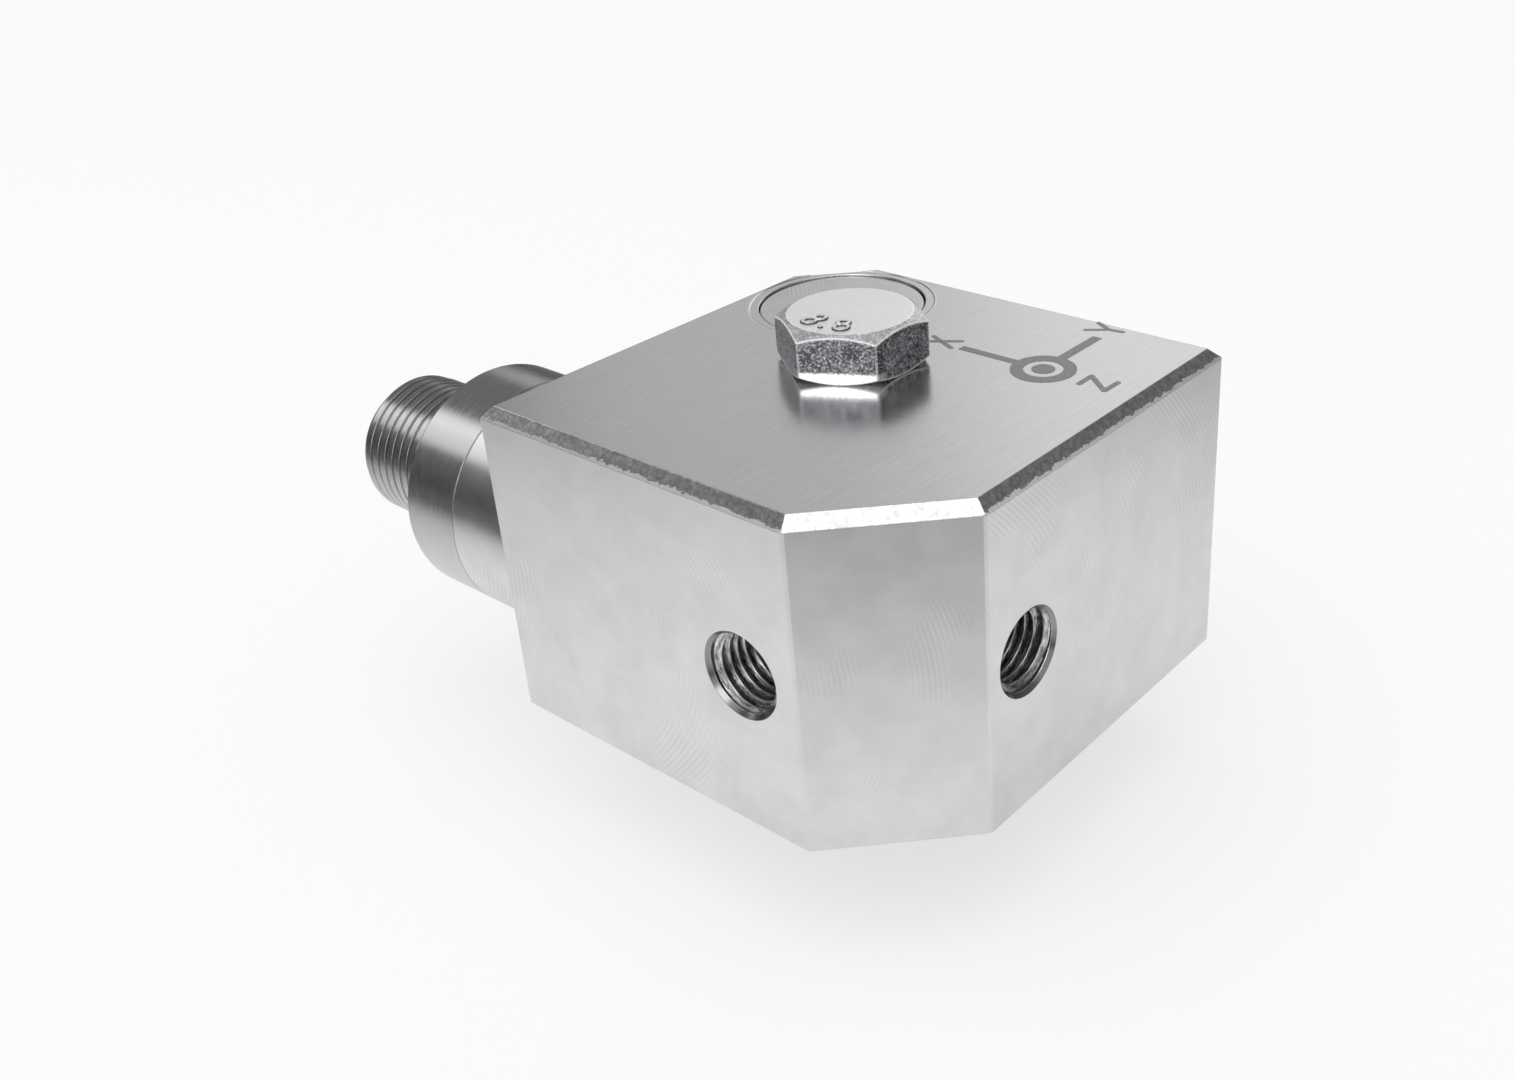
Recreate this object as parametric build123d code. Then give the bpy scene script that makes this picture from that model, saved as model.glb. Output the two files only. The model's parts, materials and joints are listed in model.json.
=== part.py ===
from build123d import *

import math
import os

# Three-axis vibration sensor, in millimetres, +Z up.
# One steel block holds a sensing stack along each axis. A connector leaves its side towards -X,
# and one bolt goes down through it. The origin is on the bolt's axis, in the mounting face.

# Block
block_side = 38.1
block_height = 25.4
front_corner_cut = 8.8
back_corner_cut = 5.5
top_bevel = 0.85
edge_break = 0.15
bolt_from_centre = 2.35

x_low = bolt_from_centre - block_side / 2
x_high = bolt_from_centre + block_side / 2
y_low = -bolt_from_centre - block_side / 2
y_high = -bolt_from_centre + block_side / 2

# Tapped holes, one in the -Y face and one in the +X face
axis_height = 12.3
tapped_hole_radius = 3.0
tapped_hole_mouth = 3.3
tapped_hole_depth = 9.0
front_hole_from_centre = 5.3
side_hole_from_centre = 5.8
drill_point_angle = 59.0

# Bolt and the hole it passes through
bolt_hole_radius = 3.2
bolt_hole_break = 0.3
head_across_flats = 10.0
head_height = 4.0
bearing_circle_inset = 0.3
washer_face_inset = 0.1
head_chamfer_angle = 30.0
head_turn = 28.5
bolt_length = 35.0
bolt_thread_radius = 3.0
bolt_waist_radius = 2.5
bolt_thread_start = 0.1
bolt_thread_runout = 0.3
bolt_tip_chamfer = 0.6
retaining_ring_height = 2.4
retaining_groove_depth = 0.15
ring_squeeze_clearance = 0.01

# Sensing stack, from the cavity's floor outwards
stud_radius = 1.25
stud_hole_depth = 2.6
stud_engagement = 2.3
stud_stand_out = 0.6
thread_clearance = 0.01
stack_inner_radius = 1.6
insulator_thickness = 0.6
insulator_radius = 4.2
piezo_thickness = 1.5
piezo_radius = 4.0
electrode_thickness = 0.2
electrode_radius = 4.1
mass_thickness = 4.5
mass_radius = 4.6
nut_across_flats = 5.0
nut_thickness = 2.0
signal_wire_radius = 0.2
signal_wire_circle = 5.1
tab_width = 1.2

# Amplifier boards
board_air_gap = 0.7
board_ring_thickness = 1.0
board_thickness = 1.0
board_clearance = 0.05
chip_length = 2.6
chip_width = 2.2
chip_height = 1.3
capacitor_length = 1.4
capacitor_width = 2.4
capacitor_height = 2.0
capacitor_place = (3.4, -2.2)
resistor_length = 1.6
resistor_width = 0.8
resistor_height = 0.6
resistor_places = [(-2.2, 3.4), (-2.2, 4.5)]

# Cavities, their lids and the passages between them
stack_bore_radius = 5.6
board_bore_radius = 6.2
lid_radius = 6.7
lid_thickness = 1.2
lid_clearance = 0.05
lid_recess = 0.2
lid_edge_break = 0.15
weld_band_radius = 7.45
weld_band_depth = 0.06
z_cavity_from_bolt = 8.35
z_lid_headroom = 2.9
y_cavity_x = 10.6
y_cavity_height = 15.5
y_lid_headroom = 0.7
x_floor = 1.0
passage_radius = 1.1
link_lead_radius = 0.5
lead_offset = 3.2
z_link_rise = 2.9
z_link_run = 3.0
z_link_side = 1.9
z_link_lift = 4.5
y_link_run = 1.5
y_link_side = 1.2
y_link_lift = 1.6

# Connector
neck_radius = 9.5
neck_length = 6.5
neck_edge_margin = 0.15
seam_break = 0.12
shell_flange_length = 6.1
shell_rim_chamfer = 0.4
barrel_radius = 6.0
barrel_length = 11.4
barrel_end_chamfer = 0.7
barrel_relief_radius = 5.35
barrel_relief_length = 1.0
spigot_length = 2.0
spigot_clearance = 0.03
shell_bore_radius = 4.6
insert_clearance = 0.05
insert_flange_radius = 5.6
insert_flange_length = 1.5
socket_radius = 4.15
socket_depth = 9.0
socket_mouth_chamfer = 0.2
key_width = 1.0
key_height = 0.6
key_recess = 0.8
pin_radius = 0.5
pin_circle_radius = 2.75
pin_count = 4
first_pin_angle = 45.0
pin_stand_out = 7.8
pin_tail = 1.6
contact_lead_radius = 0.3
seal_section_radius = 0.5
seal_groove_depth = 0.9
seal_from_flange = 1.6
potting_length = 1.2

# How far a cutting shape runs past the face that it cuts
cut_overrun = 1.0

# Places that follow from the sizes above
connector_y = y_low + neck_edge_margin + neck_radius
electrode_low = insulator_thickness + piezo_thickness
mass_low = electrode_low + electrode_thickness + piezo_thickness
nut_low = mass_low + mass_thickness
stud_top = nut_low + nut_thickness + stud_stand_out
ledge_height = stud_top + board_air_gap
board_low = ledge_height + board_ring_thickness
board_high = board_low + board_thickness
board_radius = board_bore_radius - board_clearance
seat_depth = lid_recess + lid_thickness
floor_to_face = board_high + capacitor_height + seat_depth
z_open = floor_to_face + z_lid_headroom
z_floor = block_height - z_open
y_open = floor_to_face + y_lid_headroom
y_floor = y_high - y_open
x_open = x_floor - x_low + neck_length
shell_low = neck_length
flange_high = shell_low + shell_flange_length
barrel_high = flange_high + barrel_length
socket_floor = barrel_high - socket_depth
insert_low = shell_low
insert_stop = insert_low + insert_flange_length

# Frames: each has its local +Z along the axis that the piece is built on
z_frame = Plane(origin=(-z_cavity_from_bolt, z_cavity_from_bolt, z_floor), z_dir=(0, 0, 1))
y_frame = Plane(origin=(y_cavity_x, y_floor, y_cavity_height), x_dir=(1, 0, 0), z_dir=(0, 1, 0))
x_frame = Plane(origin=(x_floor, connector_y, axis_height), x_dir=(0, 0, 1), z_dir=(-1, 0, 0))
neck_frame = Plane(origin=(x_low, connector_y, axis_height), x_dir=(0, 0, 1), z_dir=(-1, 0, 0))
front_hole_offset = bolt_from_centre + front_hole_from_centre
side_hole_offset = bolt_from_centre + side_hole_from_centre
front_hole_frame = Plane(origin=(front_hole_offset, y_low, axis_height), x_dir=(1, 0, 0), z_dir=(0, -1, 0))
side_hole_frame = Plane(origin=(x_high, -side_hole_offset, axis_height), x_dir=(0, 1, 0), z_dir=(1, 0, 0))


def disc(radius, low, high):
    """A round solid on the local axis, from one height to another."""
    return Pos(0, 0, low) * Cylinder(radius, high - low, align=(Align.CENTER, Align.CENTER, Align.MIN))


def ring(outer, inner, low, high):
    return disc(outer, low, high) - disc(inner, low, high)


def taper(low_radius, high_radius, low, high):
    return Pos(0, 0, low) * Cone(
        low_radius, high_radius, high - low, align=(Align.CENTER, Align.CENTER, Align.MIN)
    )


def slab(length, width, low, high, centre=(0, 0)):
    solid = Box(length, width, high - low, align=(Align.CENTER, Align.CENTER, Align.MIN))
    return Pos(centre[0], centre[1], low) * solid


def turned(points):
    """A solid of revolution about the local axis, from (radius, height) points."""
    profile = make_face(Polyline(*[(radius, 0, height) for radius, height in points], close=True))
    return revolve(profile, Axis.Z)


def rod(start, end, radius):
    """A straight round bar between two points."""
    line = Vector(*end) - Vector(*start)
    frame = Plane(origin=start, z_dir=line)
    return frame.location * disc(radius, 0, line.length)


def at_each_pin(solid):
    """The same solid on each place of the pin circle."""
    places = PolarLocations(pin_circle_radius, pin_count, start_angle=first_pin_angle)
    return [place * solid for place in places]


def bent_rod(points, radius):
    """Straight runs between points, with a ball at each corner."""
    solid = rod(points[0], points[1], radius)
    for corner, following in zip(points[1:], points[2:]):
        solid = solid + Pos(*corner) * Sphere(radius) + rod(corner, following, radius)
    return solid


def block_body():
    front = front_corner_cut
    back = back_corner_cut
    corners = [
        (x_low, y_low),
        (x_high - front, y_low),
        (x_high, y_low + front),
        (x_high, y_high),
        (x_low + back, y_high),
        (x_low, y_high - back),
    ]
    body = extrude(make_face(Polyline(*corners, close=True)), block_height)
    body = chamfer(body.faces().sort_by(Axis.Z)[-1].edges(), top_bevel)
    body = chamfer(body.faces().sort_by(Axis.Z)[0].edges(), edge_break)
    prism = extrude(make_face(Polyline(*corners, close=True)), block_height)
    prism = chamfer(prism.edges().filter_by(Axis.Z), edge_break)
    return body & prism


def neck_body():
    neck = disc(neck_radius, -edge_break, neck_length)
    return chamfer(neck.edges().sort_by(Axis.Z)[-1], seam_break)


def cavity(open_height, has_lid):
    """The space cut for one sensing stack, its board and its lid."""
    space = disc(stack_bore_radius, 0, ledge_height)
    space += disc(board_bore_radius, ledge_height, open_height)
    space += disc(stud_radius + thread_clearance, -stud_hole_depth, 0)
    if has_lid:
        space += disc(lid_radius + lid_clearance, open_height - seat_depth, open_height)
        space += disc(weld_band_radius, open_height - weld_band_depth, open_height + cut_overrun)
    return space


def tapped_hole():
    mouth = tapped_hole_mouth - tapped_hole_radius
    point = tapped_hole_radius / math.tan(math.radians(drill_point_angle))
    hole = disc(tapped_hole_radius, -tapped_hole_depth, 0)
    hole += taper(tapped_hole_radius, tapped_hole_mouth, -mouth, 0)
    hole += taper(0, tapped_hole_radius, -tapped_hole_depth - point, -tapped_hole_depth)
    return hole


def bolt_hole():
    hole = disc(bolt_hole_radius, 0, block_height)
    wide = bolt_hole_radius + bolt_hole_break
    hole += taper(wide, bolt_hole_radius, 0, bolt_hole_break)
    hole += taper(bolt_hole_radius, wide, block_height - bolt_hole_break, block_height)
    groove = bolt_hole_radius + retaining_groove_depth
    half = groove - bolt_waist_radius
    hole += disc(groove, retaining_ring_height - half / 2, retaining_ring_height + half / 2)
    return hole


def z_link_points():
    """From the Z board, through the slanted passage, to the X board."""
    board_face = z_floor + board_high
    side = lead_offset
    start = (-z_cavity_from_bolt - side, z_cavity_from_bolt - side, board_face)
    rise = (start[0], start[1], board_face + z_link_rise)
    end = (x_floor - board_high, connector_y + z_link_side, axis_height + z_link_lift)
    drop = (end[0] - z_link_run, end[1], end[2])
    return [start, rise, drop, end]


def y_link_points():
    """From the Y board, through the other passage, to the Z board."""
    board_face = y_floor + board_high
    start = (y_cavity_x - lead_offset, board_face, y_cavity_height + y_link_lift)
    rise = (start[0], board_face + y_link_run, start[2])
    end = (-z_cavity_from_bolt + lead_offset, z_cavity_from_bolt + y_link_side, z_floor + board_high)
    drop = (end[0], end[1], end[2] + y_link_run)
    return [start, rise, drop, end]


def housing():
    body = block_body() + neck_frame.location * neck_body()
    body -= z_frame.location * cavity(z_open, True)
    body -= y_frame.location * cavity(y_open, True)
    body -= x_frame.location * cavity(x_open, False)
    body -= bolt_hole()
    body -= front_hole_frame.location * tapped_hole()
    body -= side_hole_frame.location * tapped_hole()
    z_link = z_link_points()
    y_link = y_link_points()
    body -= rod(z_link[1], z_link[2], passage_radius)
    body -= rod(y_link[1], y_link[2], passage_radius)
    return body


def lid(open_height):
    low = open_height - seat_depth
    cover = disc(lid_radius, low, low + lid_thickness)
    return chamfer(cover.edges().sort_by(Axis.Z)[-1], lid_edge_break)


def mounting_bolt():
    slope = math.tan(math.radians(head_chamfer_angle))
    corner = head_across_flats / math.sqrt(3) + cut_overrun
    bearing_circle = head_across_flats / 2 - bearing_circle_inset
    washer_face = head_across_flats / 2 - washer_face_inset
    head_low = block_height
    head_high = block_height + head_height
    hexagon = RegularPolygon(head_across_flats / 2, 6, major_radius=False)
    head = Pos(0, 0, head_low) * extrude(hexagon, head_height)
    head = Rot(0, 0, head_turn) * head
    envelope = turned([
        (0, head_low),
        (washer_face, head_low),
        (corner, head_low + (corner - washer_face) * slope),
        (corner, head_high - (corner - bearing_circle) * slope),
        (bearing_circle, head_high),
        (0, head_high),
    ])
    tip = block_height - bolt_length
    thread_top = -bolt_thread_start - bolt_thread_runout
    shank = turned([
        (0, head_low),
        (bolt_waist_radius, head_low),
        (bolt_waist_radius, -bolt_thread_start),
        (bolt_thread_radius, thread_top),
        (bolt_thread_radius, tip + bolt_tip_chamfer),
        (bolt_thread_radius - bolt_tip_chamfer, tip),
        (0, tip),
    ])
    return (head & envelope) + shank


def bolt_retaining_ring():
    groove = bolt_hole_radius + retaining_groove_depth
    section = (groove - bolt_waist_radius) / 2 - ring_squeeze_clearance
    middle = (groove + bolt_waist_radius) / 2
    return Pos(0, 0, retaining_ring_height) * Torus(middle, section)


def connector_shell():
    groove_radius = barrel_relief_radius
    groove_end = flange_high + barrel_relief_length
    spigot = board_bore_radius - spigot_clearance
    outside = [
        (insert_flange_radius + insert_clearance, shell_low - spigot_length),
        (spigot, shell_low - spigot_length),
        (spigot, shell_low),
        (neck_radius - seam_break, shell_low),
        (neck_radius, shell_low + seam_break),
        (neck_radius, flange_high - shell_rim_chamfer),
        (neck_radius - shell_rim_chamfer, flange_high),
        (groove_radius, flange_high),
        (groove_radius, groove_end),
        (barrel_radius, groove_end + barrel_radius - groove_radius),
        (barrel_radius, barrel_high - barrel_end_chamfer),
        (barrel_radius - barrel_end_chamfer, barrel_high),
        (socket_radius + socket_mouth_chamfer, barrel_high),
        (socket_radius, barrel_high - socket_mouth_chamfer),
        (socket_radius, socket_floor),
        (shell_bore_radius, socket_floor),
        (shell_bore_radius, insert_stop),
        (insert_flange_radius + insert_clearance, insert_stop),
    ]
    return turned(outside)


def seal_height():
    return insert_stop + seal_from_flange


def connector_insert():
    """The plug of plastic that holds the contacts, with the tongue that keys the cable."""
    body_radius = shell_bore_radius - insert_clearance
    body = disc(body_radius, insert_stop, socket_floor)
    body += disc(insert_flange_radius, insert_low, insert_stop)
    key_high = barrel_high - key_recess
    key = slab(key_height * 2, key_width, insert_stop, key_high, (socket_radius, 0))
    body += key & disc(socket_radius - insert_clearance, insert_stop, key_high)
    groove = ring(
        body_radius, body_radius - seal_groove_depth,
        seal_height() - seal_section_radius, seal_height() + seal_section_radius,
    )
    body -= groove
    for passage in at_each_pin(disc(pin_radius, insert_low, socket_floor)):
        body -= passage
    return body


def insert_seal():
    groove_floor = shell_bore_radius - insert_clearance - seal_groove_depth
    section = (shell_bore_radius - groove_floor) / 2 - ring_squeeze_clearance
    middle = (shell_bore_radius + groove_floor) / 2
    return Pos(0, 0, seal_height()) * Torus(middle, section)


def contact_pins():
    tail = insert_low - pin_tail
    tip = socket_floor + pin_stand_out
    pin = disc(pin_radius, tail, tip - pin_radius)
    pin += Pos(0, 0, tip - pin_radius) * Sphere(pin_radius)
    return Compound(at_each_pin(pin))


def insert_potting():
    body = disc(insert_flange_radius, insert_low - potting_length, insert_low)
    for passage in at_each_pin(disc(pin_radius, insert_low - potting_length, insert_low)):
        body -= passage
    return body


def contact_leads():
    tail = insert_low - pin_tail
    board_face = board_high - (x_floor - x_low)
    return Compound(at_each_pin(disc(contact_lead_radius, board_face, tail)))


def preload_stud():
    return disc(stud_radius, -stud_engagement, stud_top)


def base_insulator():
    return ring(insulator_radius, stack_inner_radius, 0, insulator_thickness)


def piezo_rings():
    lower = ring(piezo_radius, stack_inner_radius, insulator_thickness, electrode_low)
    upper = ring(piezo_radius, stack_inner_radius, electrode_low + electrode_thickness, mass_low)
    return Compound([lower, upper])


def electrode():
    top = electrode_low + electrode_thickness
    reach = signal_wire_circle + signal_wire_radius
    plate = ring(electrode_radius, stack_inner_radius, electrode_low, top)
    tab_length = reach - stack_inner_radius
    tab = slab(tab_length, tab_width, electrode_low, top, (stack_inner_radius + tab_length / 2, 0))
    return plate + (tab - disc(stack_inner_radius, electrode_low, top))


def seismic_mass():
    body = ring(mass_radius, stack_inner_radius, mass_low, nut_low)
    return chamfer(body.edges().filter_by(GeomType.CIRCLE).group_by(SortBy.RADIUS)[-1], edge_break)


def preload_nut():
    body = Pos(0, 0, nut_low) * extrude(
        RegularPolygon(nut_across_flats / 2, 6, major_radius=False), nut_thickness
    )
    return body - disc(stud_radius + thread_clearance, nut_low, nut_low + nut_thickness)


def signal_wire():
    top = electrode_low + electrode_thickness
    return Pos(signal_wire_circle, 0, 0) * disc(signal_wire_radius, top, board_low)


def board_ring():
    return ring(board_radius, stack_bore_radius, ledge_height, board_low)


def amplifier_board():
    return disc(board_radius, board_low, board_high)


def board_parts():
    chip = slab(chip_length, chip_width, board_high, board_high + chip_height)
    capacitor = slab(
        capacitor_length, capacitor_width, board_high, board_high + capacitor_height, capacitor_place
    )
    resistors = [
        slab(resistor_length, resistor_width, board_high, board_high + resistor_height, place)
        for place in resistor_places
    ]
    return Compound([chip, capacitor] + resistors)


stack_pieces = {
    "preload_stud": preload_stud,
    "base_insulator": base_insulator,
    "piezo_rings": piezo_rings,
    "electrode": electrode,
    "seismic_mass": seismic_mass,
    "preload_nut": preload_nut,
    "signal_wire": signal_wire,
    "board_ring": board_ring,
    "amplifier_board": amplifier_board,
    "board_parts": board_parts,
}
stack_frames = {"x": x_frame, "y": y_frame, "z": z_frame}


def all_pieces():
    at_neck = neck_frame.location
    pieces = {
        "housing": housing(),
        "top_lid": z_frame.location * lid(z_open),
        "side_lid": y_frame.location * lid(y_open),
        "mounting_bolt": mounting_bolt(),
        "bolt_retaining_ring": bolt_retaining_ring(),
        "connector_shell": at_neck * connector_shell(),
        "connector_insert": at_neck * connector_insert(),
        "insert_seal": at_neck * insert_seal(),
        "contact_pins": at_neck * contact_pins(),
        "insert_potting": at_neck * insert_potting(),
        "contact_leads": at_neck * contact_leads(),
        "z_link_lead": bent_rod(z_link_points(), link_lead_radius),
        "y_link_lead": bent_rod(y_link_points(), link_lead_radius),
    }
    for axis_name, frame in stack_frames.items():
        for piece_name, make in stack_pieces.items():
            pieces[f"{axis_name}_{piece_name}"] = frame.location * make()
    return pieces


os.makedirs("parts", exist_ok=True)
for node_name, solid in all_pieces().items():
    export_step(solid, f"parts/{node_name}.step")
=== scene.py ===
import json
import math

import bmesh
import bpy
from mathutils import Matrix, Vector


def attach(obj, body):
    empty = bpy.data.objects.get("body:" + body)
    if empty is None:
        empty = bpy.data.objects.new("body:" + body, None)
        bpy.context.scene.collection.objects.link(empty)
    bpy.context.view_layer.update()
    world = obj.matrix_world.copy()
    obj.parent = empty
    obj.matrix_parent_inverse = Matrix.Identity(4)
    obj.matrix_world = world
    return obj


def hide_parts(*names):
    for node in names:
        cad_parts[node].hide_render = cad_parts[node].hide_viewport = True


# A three-axis vibration sensor: a milled stainless block, its captive bolt, and a turned
# connector. Blender works in metres; the sizes below are written in millimetres times mm.

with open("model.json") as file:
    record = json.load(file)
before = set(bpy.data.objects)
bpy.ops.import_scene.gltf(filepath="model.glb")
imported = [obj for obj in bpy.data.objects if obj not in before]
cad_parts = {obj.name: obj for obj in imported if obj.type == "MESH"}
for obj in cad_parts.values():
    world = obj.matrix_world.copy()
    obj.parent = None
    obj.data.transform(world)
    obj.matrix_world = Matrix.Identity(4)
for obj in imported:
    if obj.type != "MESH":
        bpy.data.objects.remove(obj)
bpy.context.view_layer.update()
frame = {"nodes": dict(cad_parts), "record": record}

mm = 0.001

# Sizes shared with the solids
block_top = 25.4 * mm
left_side = -16.7 * mm
top_bevel = 0.85 * mm
hole_height = 12.3 * mm
hole_radius = 3.0 * mm
mouth_radius = 3.3 * mm
front_hole_mouth = (7.65 * mm, -21.4 * mm, hole_height)
side_hole_mouth = (21.4 * mm, -8.15 * mm, hole_height)
across_flats = 10.0 * mm
head_height = 4.0 * mm
bolt_tip = -9.6 * mm
bolt_thread_radius = 3.0 * mm
connector_y = -11.75 * mm
neck_length = 6.5 * mm
shell_start = left_side - neck_length
flange_length = 6.1 * mm
barrel_radius = 6.0 * mm

# The head's flat is a little low, so that its raised figures end at the solid's own height
figure_height = 0.18 * mm
head_flat = block_top + head_height - figure_height

# Lids, in plain millimetres for the materials
top_lid_axis = (-8.35, 8.35, 25.4)
side_lid_axis = (10.6, 16.7, 15.5)
lid_seat_radius = 6.75
weld_band_radius = 7.45


def to_linear(code):
    """An sRGB hex colour as linear red, green, blue and alpha."""
    parts = [int(code[place:place + 2], 16) / 255 for place in (1, 3, 5)]
    linear = [c / 12.92 if c <= 0.04045 else ((c + 0.055) / 1.055) ** 2.4 for c in parts]
    return (*linear, 1.0)


# A Mix node takes two numbers as inputs 2 and 3, or two colours as inputs 6 and 7, and gives a
# mixed colour as output 2. Input 0 is how much of the second it takes.
def add_node(tree, kind, inputs=None, **settings):
    """A node with its settings; an input takes a value, an output, or a node's first output."""
    made = tree.nodes.new(kind)
    for name, value in settings.items():
        setattr(made, name, value)
    for name, value in (inputs or {}).items():
        if isinstance(value, bpy.types.Node):
            value = next(output for output in value.outputs if output.enabled)
        if isinstance(value, bpy.types.NodeSocket):
            tree.links.new(value, made.inputs[name])
        else:
            made.inputs[name].default_value = value
    return made


def new_material(name):
    """A material with an empty tree, and the place on the object in millimetres."""
    material = bpy.data.materials.new(name)
    material.use_nodes = True
    tree = material.node_tree
    tree.nodes.clear()
    metres = add_node(tree, "ShaderNodeTexCoord").outputs["Object"]
    place = add_node(tree, "ShaderNodeVectorMath", {0: metres, "Scale": 1 / mm}, operation="SCALE")
    return material, tree, place


def milled_stainless_steel():
    # Stainless bar, fly-cut on every face and left bright: a soft grey mirror with patches of
    # faint cutter arcs. The top is wiped along Y, the bevels are filed by hand some 8 degrees
    # steeper than drawn, and the edges and the bevels' lower margin are rubbed bright and carry a
    # painted highlight.
    material, tree, place = new_material("milled_stainless_steel")
    left, top, bevel_foot = left_side / mm, block_top / mm, (block_top - top_bevel) / mm
    x, y, z = add_node(tree, "ShaderNodeSeparateXYZ", {0: place}).outputs
    on_neck = add_node(tree, "ShaderNodeMapRange", {
        "Value": x, "From Min": left - 0.02, "From Max": left - 0.12,
    })
    off_top = add_node(tree, "ShaderNodeMapRange", {
        "Value": z, "From Min": top - 0.10, "From Max": top - 0.12,
    })
    near_top = add_node(tree, "ShaderNodeMapRange", {
        "Value": z, "From Min": bevel_foot - 0.01, "From Max": bevel_foot + 0.01,
    })
    normals = add_node(tree, "ShaderNodeNewGeometry").outputs
    lean_x, lean_y, lean_z = add_node(tree, "ShaderNodeSeparateXYZ", {
        0: normals["True Normal"],
    }).outputs
    slanted = add_node(tree, "ShaderNodeMath", {0: lean_z, 1: 0.707, 2: 0.1}, operation="COMPARE")
    on_bevel = add_node(tree, "ShaderNodeMath", {0: slanted, 1: near_top}, operation="MULTIPLY")
    # The corner bevels lean both ways at once, the straight ones only one way
    both_ways = add_node(tree, "ShaderNodeMath", {0: lean_x, 1: lean_y}, operation="MULTIPLY")
    straight = add_node(tree, "ShaderNodeMath", {0: both_ways, 1: 0.0, 2: 0.1}, operation="COMPARE")

    # Cutter arcs, bowed as the cutter leaves them, in patches of about 6 mm
    arc_spacing = 0.5
    cutter_diameter = 24
    along = add_node(tree, "ShaderNodeMath", {0: x, 1: y}, operation="ADD")
    across = add_node(tree, "ShaderNodeMath", {0: z, 1: hole_height / mm}, operation="SUBTRACT")
    bow = add_node(tree, "ShaderNodeMath", {0: across, 1: across}, operation="MULTIPLY")
    feed = add_node(tree, "ShaderNodeMath", {
        0: bow, 1: 1 / cutter_diameter, 2: along,
    }, operation="MULTIPLY_ADD")
    turn = add_node(tree, "ShaderNodeMath", {
        0: feed, 1: 2 * math.pi / arc_spacing,
    }, operation="MULTIPLY")
    wave = add_node(tree, "ShaderNodeMath", {0: turn}, operation="SINE")
    patches = add_node(tree, "ShaderNodeTexNoise", {"Vector": place, "Scale": 0.16, "Detail": 2.0})
    patch = add_node(tree, "ShaderNodeMapRange", {
        "Value": patches, "From Min": 0.55, "From Max": 0.70,
    })
    arcs = add_node(tree, "ShaderNodeMath", {0: wave, 1: patch}, operation="MULTIPLY")

    # File marks of about 0.5 mm on the bevels
    filed = add_node(tree, "ShaderNodeTexNoise", {
        "Vector": place, "Scale": 2.0, "Detail": 5.0, "Roughness": 0.75,
    })
    # Wiping lines of 0.2 mm along Y on the top, with grains between them
    stretched = add_node(tree, "ShaderNodeVectorMath", {
        0: place, 1: (5.0, 0.2, 0.0),
    }, operation="MULTIPLY")
    streaks = add_node(tree, "ShaderNodeTexNoise", {
        "Vector": stretched, "Scale": 1.0, "Detail": 3.0,
    })
    wiped = add_node(tree, "ShaderNodeMapRange", {"Value": streaks, "To Min": -0.2, "To Max": 0.6})
    wiped = add_node(tree, "ShaderNodeMath", {0: filed, 1: 0.6, 2: wiped}, operation="MULTIPLY_ADD")
    # Turned rings of 0.15 mm on the neck
    rings = add_node(tree, "ShaderNodeTexNoise", {"W": x, "Scale": 7.0}, noise_dimensions="1D")
    # Clouds of about 3 mm everywhere
    mist = add_node(tree, "ShaderNodeTexNoise", {
        "Vector": place, "Scale": 0.35, "Detail": 4.0, "Roughness": 0.6,
    })
    clouds = add_node(tree, "ShaderNodeMapRange", {
        "Value": mist, "From Min": 0.3, "From Max": 0.7, "To Min": 0.36, "To Max": 0.64,
    })

    on_sides = add_node(tree, "ShaderNodeMath", {0: off_top, 1: 0.12}, operation="MULTIPLY")
    tone = add_node(tree, "ShaderNodeMath", {
        0: arcs, 1: on_sides, 2: clouds,
    }, operation="MULTIPLY_ADD")
    top_tone = add_node(tree, "ShaderNodeMix", {0: off_top, 2: wiped, 3: tone})
    tone = add_node(tree, "ShaderNodeMix", {0: 0.45, 2: tone, 3: top_tone})
    # A fine dark and light line round each lid, where it was welded and turned flush
    for lid_axis in (top_lid_axis, side_lid_axis):
        reach = add_node(tree, "ShaderNodeVectorMath", {
            0: place, 1: lid_axis,
        }, operation="DISTANCE").outputs["Value"]
        for radius, change in (
            (weld_band_radius, -0.9),
            (weld_band_radius + 0.13, 0.7),
            (lid_seat_radius - 0.12, 0.5),
        ):
            line = add_node(tree, "ShaderNodeMath", {
                0: reach, 1: radius, 2: 0.06,
            }, operation="COMPARE")
            tone = add_node(tree, "ShaderNodeMath", {
                0: line, 1: change, 2: tone,
            }, operation="MULTIPLY_ADD")
    tone = add_node(tree, "ShaderNodeMapRange", {"Value": tone, "From Min": 0.15, "From Max": 0.85})
    face_colour = add_node(tree, "ShaderNodeMix", {
        0: tone, 6: to_linear("#c4c4c4"), 7: to_linear("#e3e3e2"),
    }, data_type="RGBA")
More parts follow.
